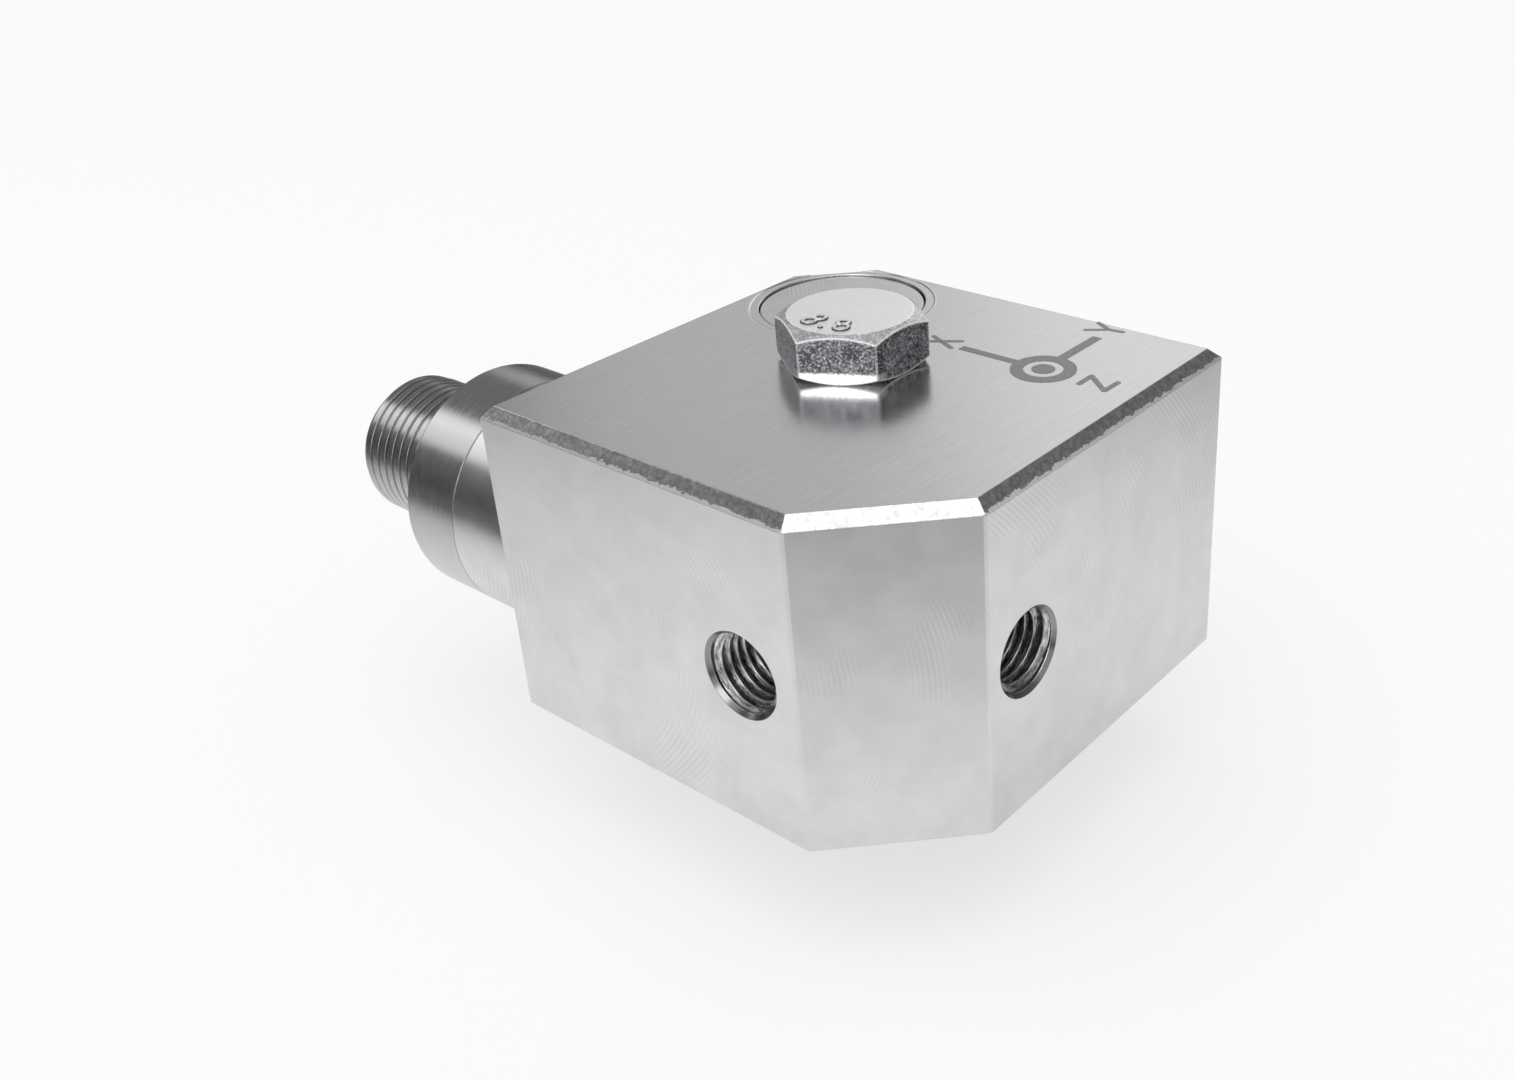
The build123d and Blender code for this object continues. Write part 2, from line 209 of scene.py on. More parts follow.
    # The lower margin of the straight bevels is filed over to the side, with a ragged line, and
    # painted bright there: a painted highlight along the margin
    rise = add_node(tree, "ShaderNodeMath", {0: filed, 1: 0.8, 2: z}, operation="MULTIPLY_ADD")
    filed_margin_highlight = add_node(tree, "ShaderNodeMapRange", {
        "Value": rise, "From Min": top - 0.25, "From Max": top - 0.30,
    })
    filed_margin_highlight = add_node(tree, "ShaderNodeMath", {0: filed_margin_highlight, 1: straight}, operation="MULTIPLY")
    mottle = add_node(tree, "ShaderNodeMapRange", {
        "Value": filed, "From Min": 0.40, "From Max": 0.64, "To Max": 0.75,
    })
    mottle = add_node(tree, "ShaderNodeMath", {0: filed_margin_highlight, 1: mottle}, operation="MAXIMUM")
    bevel_colour = add_node(tree, "ShaderNodeMix", {
        0: mottle, 6: to_linear("#b2b2b2"), 7: to_linear("#f0f0ef"),
    }, data_type="RGBA")
    colour = add_node(tree, "ShaderNodeMix", {
        0: on_bevel, 6: face_colour.outputs[2], 7: bevel_colour.outputs[2],
    }, data_type="RGBA")

    # The countersunk mouths, coloured darker than the faces round them
    for mouth in (front_hole_mouth, side_hole_mouth):
        reach = add_node(tree, "ShaderNodeVectorMath", {
            0: place, 1: tuple(side / mm for side in mouth),
        }, operation="DISTANCE").outputs["Value"]
        on_cone = add_node(tree, "ShaderNodeMapRange", {
            "Value": reach, "From Min": mouth_radius / mm + 0.01,
            "From Max": mouth_radius / mm - 0.01, "To Max": 0.75,
        })
        colour = add_node(tree, "ShaderNodeMix", {
            0: on_cone, 6: colour.outputs[2], 7: to_linear("#6f6f6e"),
        }, data_type="RGBA")

    # Edges painted bright over 0.1 mm, found where a rounded normal leaves the face's own: a
    # painted highlight along the edges, as well as rubbed wear
    rounded = add_node(tree, "ShaderNodeBevel", {"Radius": 0.11 * mm}, samples=8)
    agree = add_node(tree, "ShaderNodeVectorMath", {
        0: rounded, 1: normals["Normal"],
    }, operation="DOT_PRODUCT").outputs["Value"]
    edge = add_node(tree, "ShaderNodeMapRange", {
        "Value": agree, "From Min": 0.985, "From Max": 0.93,
    })
    strength = add_node(tree, "ShaderNodeMapRange", {
        "Value": on_neck, "To Min": 0.8, "To Max": 0.15,
    })
    edge = add_node(tree, "ShaderNodeMath", {0: edge, 1: strength}, operation="MULTIPLY")
    colour = add_node(tree, "ShaderNodeMix", {
        0: edge, 6: colour.outputs[2], 7: to_linear("#ffffff"),
    }, data_type="RGBA")

    relief = add_node(tree, "ShaderNodeMix", {0: off_top, 2: wiped, 3: arcs})
    relief = add_node(tree, "ShaderNodeMix", {0: on_neck, 2: relief, 3: rings})
    filed_relief = add_node(tree, "ShaderNodeMath", {0: filed, 1: on_bevel}, operation="MULTIPLY")
    relief = add_node(tree, "ShaderNodeMath", {
        0: filed_relief, 1: 3.0, 2: relief,
    }, operation="MULTIPLY_ADD")
    # The bevels are filed steeper than drawn, and their margin more so
    drop = add_node(tree, "ShaderNodeMath", {0: filed_margin_highlight, 1: 0.58, 2: 0.17}, operation="MULTIPLY_ADD")
    drop = add_node(tree, "ShaderNodeMath", {0: drop, 1: on_bevel}, operation="MULTIPLY")
    lowered = add_node(tree, "ShaderNodeVectorMath", {
        0: (0, 0, -1), "Scale": drop,
    }, operation="SCALE")
    facing = add_node(tree, "ShaderNodeVectorMath", {0: rounded, 1: lowered}, operation="ADD")
    facing = add_node(tree, "ShaderNodeVectorMath", {0: facing}, operation="NORMALIZE")
    bump = add_node(tree, "ShaderNodeBump", {
        "Strength": 0.09, "Distance": 0.02 * mm, "Height": relief, "Normal": facing,
    })
    roughness = add_node(tree, "ShaderNodeMapRange", {
        "Value": mist, "From Min": 0.3, "From Max": 0.7, "To Min": 0.19, "To Max": 0.24,
    })
    shader = add_node(tree, "ShaderNodeBsdfPrincipled", {
        "Base Color": colour.outputs[2], "Metallic": 1.0, "Roughness": roughness, "Normal": bump,
    })
    add_node(tree, "ShaderNodeOutputMaterial", {"Surface": shader})
    return material


def turned_stainless_steel():
    # Stainless steel turned on a lathe: close rings round the connector's axis that smear a
    # reflection along it. The threaded barrel is a little darker than the flange.
    material, tree, place = new_material("turned_stainless_steel")
    flange_end = (shell_start - flange_length) / mm
    x = add_node(tree, "ShaderNodeSeparateXYZ", {0: place})
    # Tool lines of 0.15 mm, and drag marks of about 1 mm that follow them part of the way round
    rings = add_node(tree, "ShaderNodeTexNoise", {
        "W": x, "Scale": 7.0, "Roughness": 0.6,
    }, noise_dimensions="1D")
    stretched = add_node(tree, "ShaderNodeVectorMath", {
        0: place, 1: (6.0, 0.7, 0.7),
    }, operation="MULTIPLY")
    drag = add_node(tree, "ShaderNodeTexNoise", {
        "Vector": stretched, "Scale": 1.0, "Detail": 4.0, "Roughness": 0.65,
    })
    on_barrel = add_node(tree, "ShaderNodeMapRange", {
        "Value": x, "From Min": flange_end, "From Max": flange_end - 0.2,
    })
    flange_colour = add_node(tree, "ShaderNodeMix", {
        0: drag, 6: to_linear("#a9a9a9"), 7: to_linear("#d9d9d8"),
    }, data_type="RGBA")
    barrel_colour = add_node(tree, "ShaderNodeMix", {
        0: drag, 6: to_linear("#969696"), 7: to_linear("#d6d6d5"),
    }, data_type="RGBA")
    colour = add_node(tree, "ShaderNodeMix", {
        0: on_barrel, 6: flange_colour.outputs[2], 7: barrel_colour.outputs[2],
    }, data_type="RGBA")
    relief = add_node(tree, "ShaderNodeMath", {0: rings, 1: drag}, operation="ADD")
    rounded = add_node(tree, "ShaderNodeBevel", {"Radius": 0.08 * mm}, samples=6)
    bump = add_node(tree, "ShaderNodeBump", {
        "Strength": 0.12, "Distance": 0.02 * mm, "Height": relief, "Normal": rounded,
    })
    roughness = add_node(tree, "ShaderNodeMapRange", {
        "Value": drag, "From Min": 0.3, "From Max": 0.7, "To Min": 0.15, "To Max": 0.26,
    })
    shader = add_node(tree, "ShaderNodeBsdfPrincipled", {
        "Base Color": colour.outputs[2], "Metallic": 1.0, "Roughness": roughness, "Normal": bump,
    })
    add_node(tree, "ShaderNodeOutputMaterial", {"Surface": shader})
    return material


def zinc_plated_steel():
    # Cold-headed steel, zinc plated: a pale satin top and chamfer, and drawn sides speckled dark
    # where the zinc is thin. The edges are rubbed bright and ragged, with a painted highlight along
    # them; the foot of the front face has a painted highlight, the front face painted shade and the
    # side to its left painted light.
    material, tree, place = new_material("zinc_plated_steel")
    z = add_node(tree, "ShaderNodeSeparateXYZ", {0: place}).outputs["Z"]
    # Speckles of 0.1 to 0.25 mm over smudges of about 1 mm
    speckle = add_node(tree, "ShaderNodeTexNoise", {
        "Vector": place, "Scale": 5.5, "Detail": 5.0, "Roughness": 0.75,
    })
    smudge = add_node(tree, "ShaderNodeTexNoise", {"Vector": place, "Scale": 1.1, "Detail": 2.0})
    bare = add_node(tree, "ShaderNodeMath", {
        0: smudge, 1: 0.35, 2: speckle,
    }, operation="MULTIPLY_ADD")
    # Painted shade and painted light: the front face is painted darker than the others and the
    # one to its left paler, for how the light falls on them
    front_facing = (0.477, -0.879, 0.0)
    left_facing = (-0.523, -0.853, 0.0)
    flat = across_flats / 2 / mm
    forward = add_node(tree, "ShaderNodeVectorMath", {
        0: place, 1: front_facing,
    }, operation="DOT_PRODUCT").outputs["Value"]
    in_front = add_node(tree, "ShaderNodeMapRange", {
        "Value": forward, "From Min": flat - 1.0, "From Max": flat - 0.4,
    })
    bare = add_node(tree, "ShaderNodeMath", {
        0: in_front, 1: -0.065, 2: bare,
    }, operation="MULTIPLY_ADD")
    leftward = add_node(tree, "ShaderNodeVectorMath", {
        0: place, 1: left_facing,
    }, operation="DOT_PRODUCT").outputs["Value"]
    painted_light_on_left = add_node(tree, "ShaderNodeMapRange", {
        "Value": leftward, "From Min": flat - 0.1, "From Max": flat - 0.02,
    })
    bare = add_node(tree, "ShaderNodeMath", {
        0: painted_light_on_left, 1: 0.12, 2: bare,
    }, operation="MULTIPLY_ADD")
    bare = add_node(tree, "ShaderNodeMapRange", {
        "Value": bare, "From Min": 0.565, "From Max": 0.845,
    })
    side_colour = add_node(tree, "ShaderNodeMix", {
        0: bare, 6: to_linear("#4f5157"), 7: to_linear("#cccdd2"),
    }, data_type="RGBA")
    # A painted highlight on the foot of the front face, about 0.9 mm high with a ragged upper
    # line: the speckle, 0.5 on average, lifts the height at which a point counts by 0.45 mm
    foot_line = add_node(tree, "ShaderNodeMath", {
        0: speckle, 1: 0.9, 2: z,
    }, operation="MULTIPLY_ADD")
    foot_top = block_top / mm + 0.90 + 0.45
    painted_foot_highlight = add_node(tree, "ShaderNodeMapRange", {
        "Value": foot_line, "From Min": foot_top + 0.10, "From Max": foot_top - 0.10,
    })
    painted_foot_highlight = add_node(tree, "ShaderNodeMath", {0: painted_foot_highlight, 1: in_front}, operation="MULTIPLY")
    side_colour = add_node(tree, "ShaderNodeMix", {
        0: painted_foot_highlight, 6: side_colour.outputs[2], 7: to_linear("#fafaf9"),
    }, data_type="RGBA")
    # Chamfer between the sides and the flat top
    normal = add_node(tree, "ShaderNodeNewGeometry").outputs["Normal"]
    lean = add_node(tree, "ShaderNodeSeparateXYZ", {0: normal}).outputs["Z"]
    on_chamfer = add_node(tree, "ShaderNodeMapRange", {
        "Value": lean, "From Min": 0.3, "From Max": 0.7,
    })
    on_top = add_node(tree, "ShaderNodeMapRange", {
        "Value": lean, "From Min": 0.90, "From Max": 0.99,
    })
    chamfer_colour = add_node(tree, "ShaderNodeMix", {
        0: bare, 6: to_linear("#a4a5a7"), 7: to_linear("#e6e6e6"),
    }, data_type="RGBA")
    colour = add_node(tree, "ShaderNodeMix", {
        0: on_chamfer, 6: side_colour.outputs[2], 7: chamfer_colour.outputs[2],
    }, data_type="RGBA")
    top_colour = add_node(tree, "ShaderNodeMix", {
        0: speckle, 6: to_linear("#dededd"), 7: to_linear("#f8f8f6"),
    }, data_type="RGBA")
    colour = add_node(tree, "ShaderNodeMix", {
        0: on_top, 6: colour.outputs[2], 7: top_colour.outputs[2],
    }, data_type="RGBA")
    # Edges painted bright over 0.2 mm, broken up by the speckle: a painted highlight along the
    # edges, as well as rubbed wear
    rounded = add_node(tree, "ShaderNodeBevel", {"Radius": 0.25 * mm}, samples=8)
    agree = add_node(tree, "ShaderNodeVectorMath", {
        0: rounded, 1: normal,
    }, operation="DOT_PRODUCT").outputs["Value"]
    edge_wear_and_highlight = add_node(tree, "ShaderNodeMath", {
        0: speckle, 1: -0.12, 2: agree,
    }, operation="MULTIPLY_ADD")
    edge = add_node(tree, "ShaderNodeMapRange", {
        "Value": edge_wear_and_highlight, "From Min": 0.935, "From Max": 0.91,
    })
    colour = add_node(tree, "ShaderNodeMix", {
        0: edge, 6: colour.outputs[2], 7: to_linear("#fdfdfc"),
    }, data_type="RGBA")
    # Painted shade in the corners round the raised figures, up to 0.1 mm above the flat
    flat_height = head_flat / mm
    above = add_node(tree, "ShaderNodeMapRange", {
        "Value": z, "From Min": flat_height + 0.002, "From Max": flat_height + 0.006,
    })
    below = add_node(tree, "ShaderNodeMapRange", {
        "Value": z, "From Min": flat_height + 0.13, "From Max": flat_height + 0.07,
    })
    painted_shade_round_figures = add_node(tree, "ShaderNodeMath", {0: above, 1: below}, operation="MULTIPLY")
    colour = add_node(tree, "ShaderNodeMix", {
        0: painted_shade_round_figures, 6: colour.outputs[2], 7: to_linear("#3c3d40"),
    }, data_type="RGBA")
    # The foot is rubbed smooth and mirrors the light
    relief = add_node(tree, "ShaderNodeMix", {0: painted_foot_highlight, 2: speckle, 3: 0.5})
    bump = add_node(tree, "ShaderNodeBump", {
        "Strength": 0.35, "Distance": 0.03 * mm, "Height": relief, "Normal": rounded,
    })
    roughness = add_node(tree, "ShaderNodeMapRange", {
        "Value": lean, "To Min": 0.46, "To Max": 0.30,
    })
    roughness = add_node(tree, "ShaderNodeMix", {0: painted_foot_highlight, 2: roughness, 3: 0.2})
    plating = add_node(tree, "ShaderNodeMapRange", {
        "Value": lean, "From Min": 0.3, "From Max": 0.7, "To Min": 0.88, "To Max": 0.52,
    })
    dull = add_node(tree, "ShaderNodeMix", {0: edge, 2: plating, 3: 0.15})
    shader = add_node(tree, "ShaderNodeBsdfPrincipled", {
        "Base Color": colour.outputs[2], "Metallic": dull, "Roughness": roughness, "Normal": bump,
    })
    add_node(tree, "ShaderNodeOutputMaterial", {"Surface": shader})
    return material


def laser_etched_steel():
    # Laser-annealed steel: a matt, darker grey than the milled face round it, burnt in spots.
    material, tree, place = new_material("laser_etched_steel")
    burn = add_node(tree, "ShaderNodeTexNoise", {"Vector": place, "Scale": 5.0, "Detail": 3.0})
    level = add_node(tree, "ShaderNodeMapRange", {
        "Value": burn, "From Min": 0.35, "From Max": 0.65,
    })
    colour = add_node(tree, "ShaderNodeMix", {
        0: level, 6: to_linear("#8e8e8d"), 7: to_linear("#a2a2a1"),
    }, data_type="RGBA")
    shader = add_node(tree, "ShaderNodeBsdfPrincipled", {
        "Base Color": colour.outputs[2], "Metallic": 0.7, "Roughness": 0.5,
    })
    add_node(tree, "ShaderNodeOutputMaterial", {"Surface": shader})
    return material


def tapped_steel(name, stretch):
    # Stainless steel cut with a tap: the flanks streaked dark and bright the way the tap turned,
    # the bright streaks partly painted glints, and the crests painted bright with a painted
    # highlight.
    material, tree, place = new_material(name)
    along = add_node(tree, "ShaderNodeVectorMath", {0: place, 1: stretch}, operation="MULTIPLY")
    streaks = add_node(tree, "ShaderNodeTexNoise", {
        "Vector": along, "Scale": 1.0, "Detail": 4.0, "Roughness": 0.7,
    })
    # Tap marks, dark and bright; the bright ones are partly painted glints
    level = add_node(tree, "ShaderNodeMapRange", {
        "Value": streaks, "From Min": 0.38, "From Max": 0.62,
    })
    colour = add_node(tree, "ShaderNodeMix", {
        0: level, 6: to_linear("#6e6d6c"), 7: to_linear("#f0efed"),
    }, data_type="RGBA")
    # The crests painted bright where a rounded normal leaves the face's own: a painted highlight
    rounded = add_node(tree, "ShaderNodeBevel", {"Radius": 0.07 * mm}, samples=6)
    flat = add_node(tree, "ShaderNodeNewGeometry").outputs["Normal"]
    agree = add_node(tree, "ShaderNodeVectorMath", {
        0: rounded, 1: flat,
    }, operation="DOT_PRODUCT").outputs["Value"]
    edge = add_node(tree, "ShaderNodeMapRange", {
        "Value": agree, "From Min": 0.985, "From Max": 0.93,
    })
    colour = add_node(tree, "ShaderNodeMix", {
        0: edge, 6: colour.outputs[2], 7: to_linear("#fafaf9"),
    }, data_type="RGBA")
    bump = add_node(tree, "ShaderNodeBump", {
        "Strength": 0.7, "Distance": 0.04 * mm, "Height": streaks, "Normal": rounded,
    })
    shader = add_node(tree, "ShaderNodeBsdfPrincipled", {
        "Base Color": colour.outputs[2], "Metallic": 1.0, "Roughness": 0.22, "Normal": bump,
    })
    add_node(tree, "ShaderNodeOutputMaterial", {"Surface": shader})
    return material


def inner_finish(name, dark, light, roughness, metallic=0.0, spots_per_mm=3.0, grain=0.06):
    """A moulded, cast, fired or plated material with a slight mottle and a fine relief."""
    material, tree, place = new_material(name)
    mottle = add_node(tree, "ShaderNodeTexNoise", {
        "Vector": place, "Scale": spots_per_mm, "Detail": 4.0,
    })
    level = add_node(tree, "ShaderNodeMapRange", {
        "Value": mottle, "From Min": 0.3, "From Max": 0.7,
    })
    colour = add_node(tree, "ShaderNodeMix", {
        0: level, 6: to_linear(dark), 7: to_linear(light),
    }, data_type="RGBA")
    spread = add_node(tree, "ShaderNodeMapRange", {
        "Value": level, "To Min": roughness * 0.85, "To Max": roughness * 1.15,
    })
    bump = add_node(tree, "ShaderNodeBump", {
        "Strength": grain, "Distance": 0.02 * mm, "Height": mottle,
    })
    shader = add_node(tree, "ShaderNodeBsdfPrincipled", {
        "Base Color": colour.outputs[2], "Metallic": metallic, "Roughness": spread, "Normal": bump,
    })
    add_node(tree, "ShaderNodeOutputMaterial", {"Surface": shader})
    return material


finishes = {
    "block_steel": milled_stainless_steel(),
    "turned_steel": turned_stainless_steel(),
    "plated_bolt": zinc_plated_steel(),
    # Plain steel, ground: neutral grey with a fine even grain
    "inner_steel": inner_finish(
        "ground_steel", "#a5a5a3", "#c2c2c0", 0.32, metallic=1.0, spots_per_mm=6.0,
    ),
    # Nitrile rubber, moulded: near black with a dull sheen
    "seal_rubber": inner_finish("nitrile_rubber", "#1b1b1c", "#262627", 0.6),
    # Glass-filled nylon, moulded: black, with a rough skin
    "insert_plastic": inner_finish("glass_filled_nylon", "#202123", "#2c2d2f", 0.45, grain=0.2),
    # Brass, turned and gold plated: warm and smooth
    "plated_contact": inner_finish(
        "gold_plated_brass", "#d9b25a", "#e8c877", 0.2, metallic=1.0, spots_per_mm=6.0,
    ),
    # Epoxy, cast: black and glossy where it levelled
    "potting_resin": inner_finish("cast_epoxy", "#1d1e22", "#25262b", 0.25),
    # Fluoropolymer lead insulation, extruded: milky white
    "lead_insulation": inner_finish("fluoropolymer_insulation", "#d8d6cf", "#e6e4de", 0.4),
    # Alumina, fired: ivory and fine grained
    "insulator_ceramic": inner_finish("fired_alumina", "#e9e6da", "#f3f0e6", 0.5),
    # Piezoelectric ceramic, fired and silvered: warm grey
    "piezo_ceramic": inner_finish("piezo_ceramic", "#8f8573", "#a1978a", 0.55),
    # Brass, stamped: yellow with a fine grain
    "electrode_brass": inner_finish(
        "stamped_brass", "#b8923f", "#caa556", 0.3, metallic=1.0, spots_per_mm=5.0,
    ),
    # Copper wire, enamelled: red brown and glossy
    "enamelled_wire": inner_finish("enamelled_copper", "#9c4f22", "#b5642f", 0.25, metallic=0.8),
    # Glass-epoxy laminate with solder mask: green with a coarse mottle
    "board_laminate": inner_finish(
        "solder_mask_laminate", "#1c5c33", "#24703f", 0.35, spots_per_mm=2.0,
    ),
    # Component bodies, moulded epoxy: black and matt
    "component_plastic": inner_finish("moulded_component_epoxy", "#191919", "#242424", 0.5),
}
finishes["lid_steel"] = finishes["block_steel"]
etched_finish = laser_etched_steel()

for entry in frame["record"]["subparts"]:
    node = frame["nodes"][entry["node"]]
    node.data.materials.clear()
    node.data.materials.append(finishes[entry["material_slot"]])


def new_piece(name, shape, material, smooth_angle=30.0):
    """Turns a finished bmesh into a piece that rides with the sensor.

    Edges that turn by more than the smooth angle, in degrees, stay sharp.
    """
    bmesh.ops.recalc_face_normals(shape, faces=shape.faces[:])
    # The recalculation can turn a long thin ridge inside out
    if shape.calc_volume(signed=True) < 0:
        bmesh.ops.reverse_faces(shape, faces=shape.faces[:])
    mesh = bpy.data.meshes.new(name)
    shape.to_mesh(mesh)
    shape.free()
    mesh.materials.append(material)
    for face in mesh.polygons:
        face.use_smooth = True
    mesh.set_sharp_from_angle(angle=math.radians(smooth_angle))
    piece = bpy.data.objects.new(name, mesh)
    bpy.context.scene.collection.objects.link(piece)
    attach(piece, "root")
    return piece


def lathe(points, rounding=0.05 * mm, steps=96):
    """A closed ring turned about local Z from (radius, height) points, with rounded corners."""
    shape = bmesh.new()
    corners = [shape.verts.new((radius, 0, height)) for radius, height in points]
    for first, second in zip(corners, corners[1:] + corners[:1]):
        shape.edges.new((first, second))
    if rounding:
        bmesh.ops.bevel(
            shape, geom=corners, offset=rounding, offset_type="OFFSET", segments=2,
            profile=0.5, affect="VERTICES", material=-1,
        )
    bmesh.ops.spin(
        shape, geom=shape.verts[:] + shape.edges[:], cent=(0, 0, 0), axis=(0, 0, 1),
        angle=2 * math.pi, steps=steps, use_merge=True,
    )
    bmesh.ops.remove_doubles(shape, verts=shape.verts[:], dist=0.001 * mm)
    return shape


def thread_ridge(root_radius, crest_radius, pitch, length, steps_a_turn=48, crest_share=0.14):
    """A closed helical ridge along local Z, faded out over a third of a turn at both ends.

    Its root is 0.9 of the pitch wide, and its crest the given share of it.
    """
    shape = bmesh.new()
    root_half = pitch * 0.45
    crest_half = pitch * crest_share / 2
    section = [
        (root_radius, -root_half), (crest_radius, -crest_half),
        (crest_radius, crest_half), (root_radius, root_half),
    ]
    turns = (length - 2 * root_half) / pitch
    steps = round(turns * steps_a_turn)
    verts = [shape.verts.new((radius, 0, root_half + height)) for radius, height in section]
    face = shape.faces.new(verts)
    bmesh.ops.spin(
        shape, geom=verts + face.edges[:] + [face], cent=(0, 0, 0), axis=(0, 0, 1),
        dvec=(0, 0, turns * pitch / steps), angle=2 * math.pi * turns, steps=steps,
    )
    shape.verts.ensure_lookup_table()
    fade = steps_a_turn // 3
    for number, vert in enumerate(shape.verts):
        step = number // 4
        share = min(1.0, step / fade, (steps - step) / fade)
        radius = math.hypot(vert.co.x, vert.co.y)
        wanted = root_radius + (radius - root_radius) * share
        vert.co.x *= wanted / radius
        vert.co.y *= wanted / radius
    open_edges = [edge for edge in shape.edges if edge.is_boundary]
    if open_edges:
        bmesh.ops.holes_fill(shape, edges=open_edges, sides=0)
    return shape


def place_along(shape, origin, direction):
    """Turns a shape made along local Z to lie along a direction from a point."""
    turn = Vector((0, 0, 1)).rotation_difference(Vector(direction)).to_matrix().to_4x4()
    placed = Matrix.Translation(Vector(origin)) @ turn
    bmesh.ops.transform(shape, matrix=placed, verts=shape.verts[:])
    return shape


def hexagon_head():
    """The bolt's head, with a corner pointing 28.5 degrees from +X and both ends chamfered."""
    corner_angle = 28.5
    slope = math.radians(30)
    top_radius = 4.65 * mm
    washer_radius = 4.9 * mm
    # A circle's first corner is made at +Y
    turn = math.radians(corner_angle - 90.0)
    shape = bmesh.new()
    bmesh.ops.create_circle(
        shape, cap_ends=True, segments=6, radius=across_flats / math.sqrt(3),
        matrix=Matrix.Translation((0, 0, block_top)) @ Matrix.Rotation(turn, 4, "Z"),
    )
    raised = bmesh.ops.extrude_face_region(shape, geom=shape.faces[:])
    top = [item for item in raised["geom"] if isinstance(item, bmesh.types.BMVert)]
    bmesh.ops.translate(shape, vec=(0, 0, head_flat - block_top), verts=top)
    upright = [
        edge for edge in shape.edges
        if abs(edge.verts[0].co.z - edge.verts[1].co.z) > head_height / 2
    ]
    bmesh.ops.bevel(
        shape, geom=upright, offset=0.05 * mm, offset_type="OFFSET", segments=2,
        profile=0.5, affect="EDGES", material=-1,
    )
    # Each end is cut to a cone by flat cuts all round, tangent to its circle
    cuts = 90
    for radius, level, lift in ((top_radius, head_flat, 1), (washer_radius, block_top, -1)):
        for number in range(cuts):
            angle = 2 * math.pi * number / cuts
            outward = Vector((math.cos(angle), math.sin(angle), 0))
            normal = outward * math.sin(slope) + Vector((0, 0, lift * math.cos(slope)))
            cut = bmesh.ops.bisect_plane(
                shape, geom=shape.verts[:] + shape.edges[:] + shape.faces[:],
                dist=0.00001 * mm, plane_co=outward * radius + Vector((0, 0, level)),
                plane_no=normal, clear_outer=True,
            )
            rim = [item for item in cut["geom_cut"] if isinstance(item, bmesh.types.BMEdge)]
            if len(rim) > 2:
                bmesh.ops.contextual_create(shape, geom=rim)
    bmesh.ops.remove_doubles(shape, verts=shape.verts[:], dist=0.002 * mm)
    return shape


def strength_figures():
    """The raised figures of a common strength class, two eights and a point, cold-headed."""
    bead = 0.2 * mm
    point_radius = 0.22 * mm
    figure_top = head_flat + figure_height
    shape = bmesh.new()
    # Each eight is two rings, with their distances from the bolt's axis and their radii in
    # millimetres: the lower one of the figure, farther out, is the larger
    for angle in (math.radians(-108), math.radians(-60)):
        outward = Vector((math.cos(angle), math.sin(angle), 0))
        for distance, radius in ((2.52, 0.42), (3.42, 0.50)):
            centre = outward * distance * mm + Vector((0, 0, figure_top - bead))
            upright = Matrix.Rotation(math.radians(90), 4, "X")
            made = bmesh.ops.create_circle(
                shape, segments=10, radius=bead,
                matrix=Matrix.Translation(centre + Vector((radius * mm, 0, 0))) @ upright,
            )
            rim = made["verts"]
            edges = {edge for vert in rim for edge in vert.link_edges}
            bmesh.ops.spin(
                shape, geom=rim + list(edges), cent=centre, axis=(0, 0, 1), angle=2 * math.pi,
                steps=24, use_merge=True,
            )
    point_angle = math.radians(-84)
    point_distance = 3.72
    point = Vector((math.cos(point_angle), math.sin(point_angle), 0)) * point_distance * mm
    bmesh.ops.create_uvsphere(
        shape, u_segments=12, v_segments=8, radius=point_radius,
        matrix=Matrix.Translation(point + Vector((0, 0, figure_top - point_radius))),
    )
    bmesh.ops.remove_doubles(shape, verts=shape.verts[:], dist=0.001 * mm)
    return shape


# Bolt: hexagon head, waisted shank, and a real M6 x 1 thread below the block
bolt_head = new_piece(
    "bolt_head", hexagon_head(), finishes["plated_bolt"], smooth_angle=12.0,
)
new_piece(
    "strength_figures", strength_figures(), finishes["plated_bolt"],
    smooth_angle=60.0,
)

waist_radius = 2.5 * mm
shank_top = block_top + 0.2 * mm
thread_root = 2.39 * mm
tip_chamfer = 0.25 * mm
# A turned piece keeps this far off its axis, so that it closes as a ring
axis_gap = 0.05 * mm
# A thread's ridge starts this deep in the core that it stands on
ridge_sunk = 0.04 * mm
new_piece(
    "bolt_shank",
    lathe([
        (axis_gap, shank_top),
        (waist_radius, shank_top),
        (waist_radius, -0.1 * mm),
        (thread_root, -0.3 * mm),
        (thread_root, bolt_tip + tip_chamfer),
        (thread_root - tip_chamfer, bolt_tip),
        (axis_gap, bolt_tip),
    ]),
    finishes["plated_bolt"], smooth_angle=12.0,
)
new_piece(
    "bolt_thread",
    place_along(
        thread_ridge(thread_root - ridge_sunk, bolt_thread_radius, pitch=1.0 * mm, length=9.0 * mm),
        (0, 0, bolt_tip + 0.3 * mm), (0, 0, 1),
    ),
    finishes["plated_bolt"], smooth_angle=20.0,
)
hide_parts("mounting_bolt")

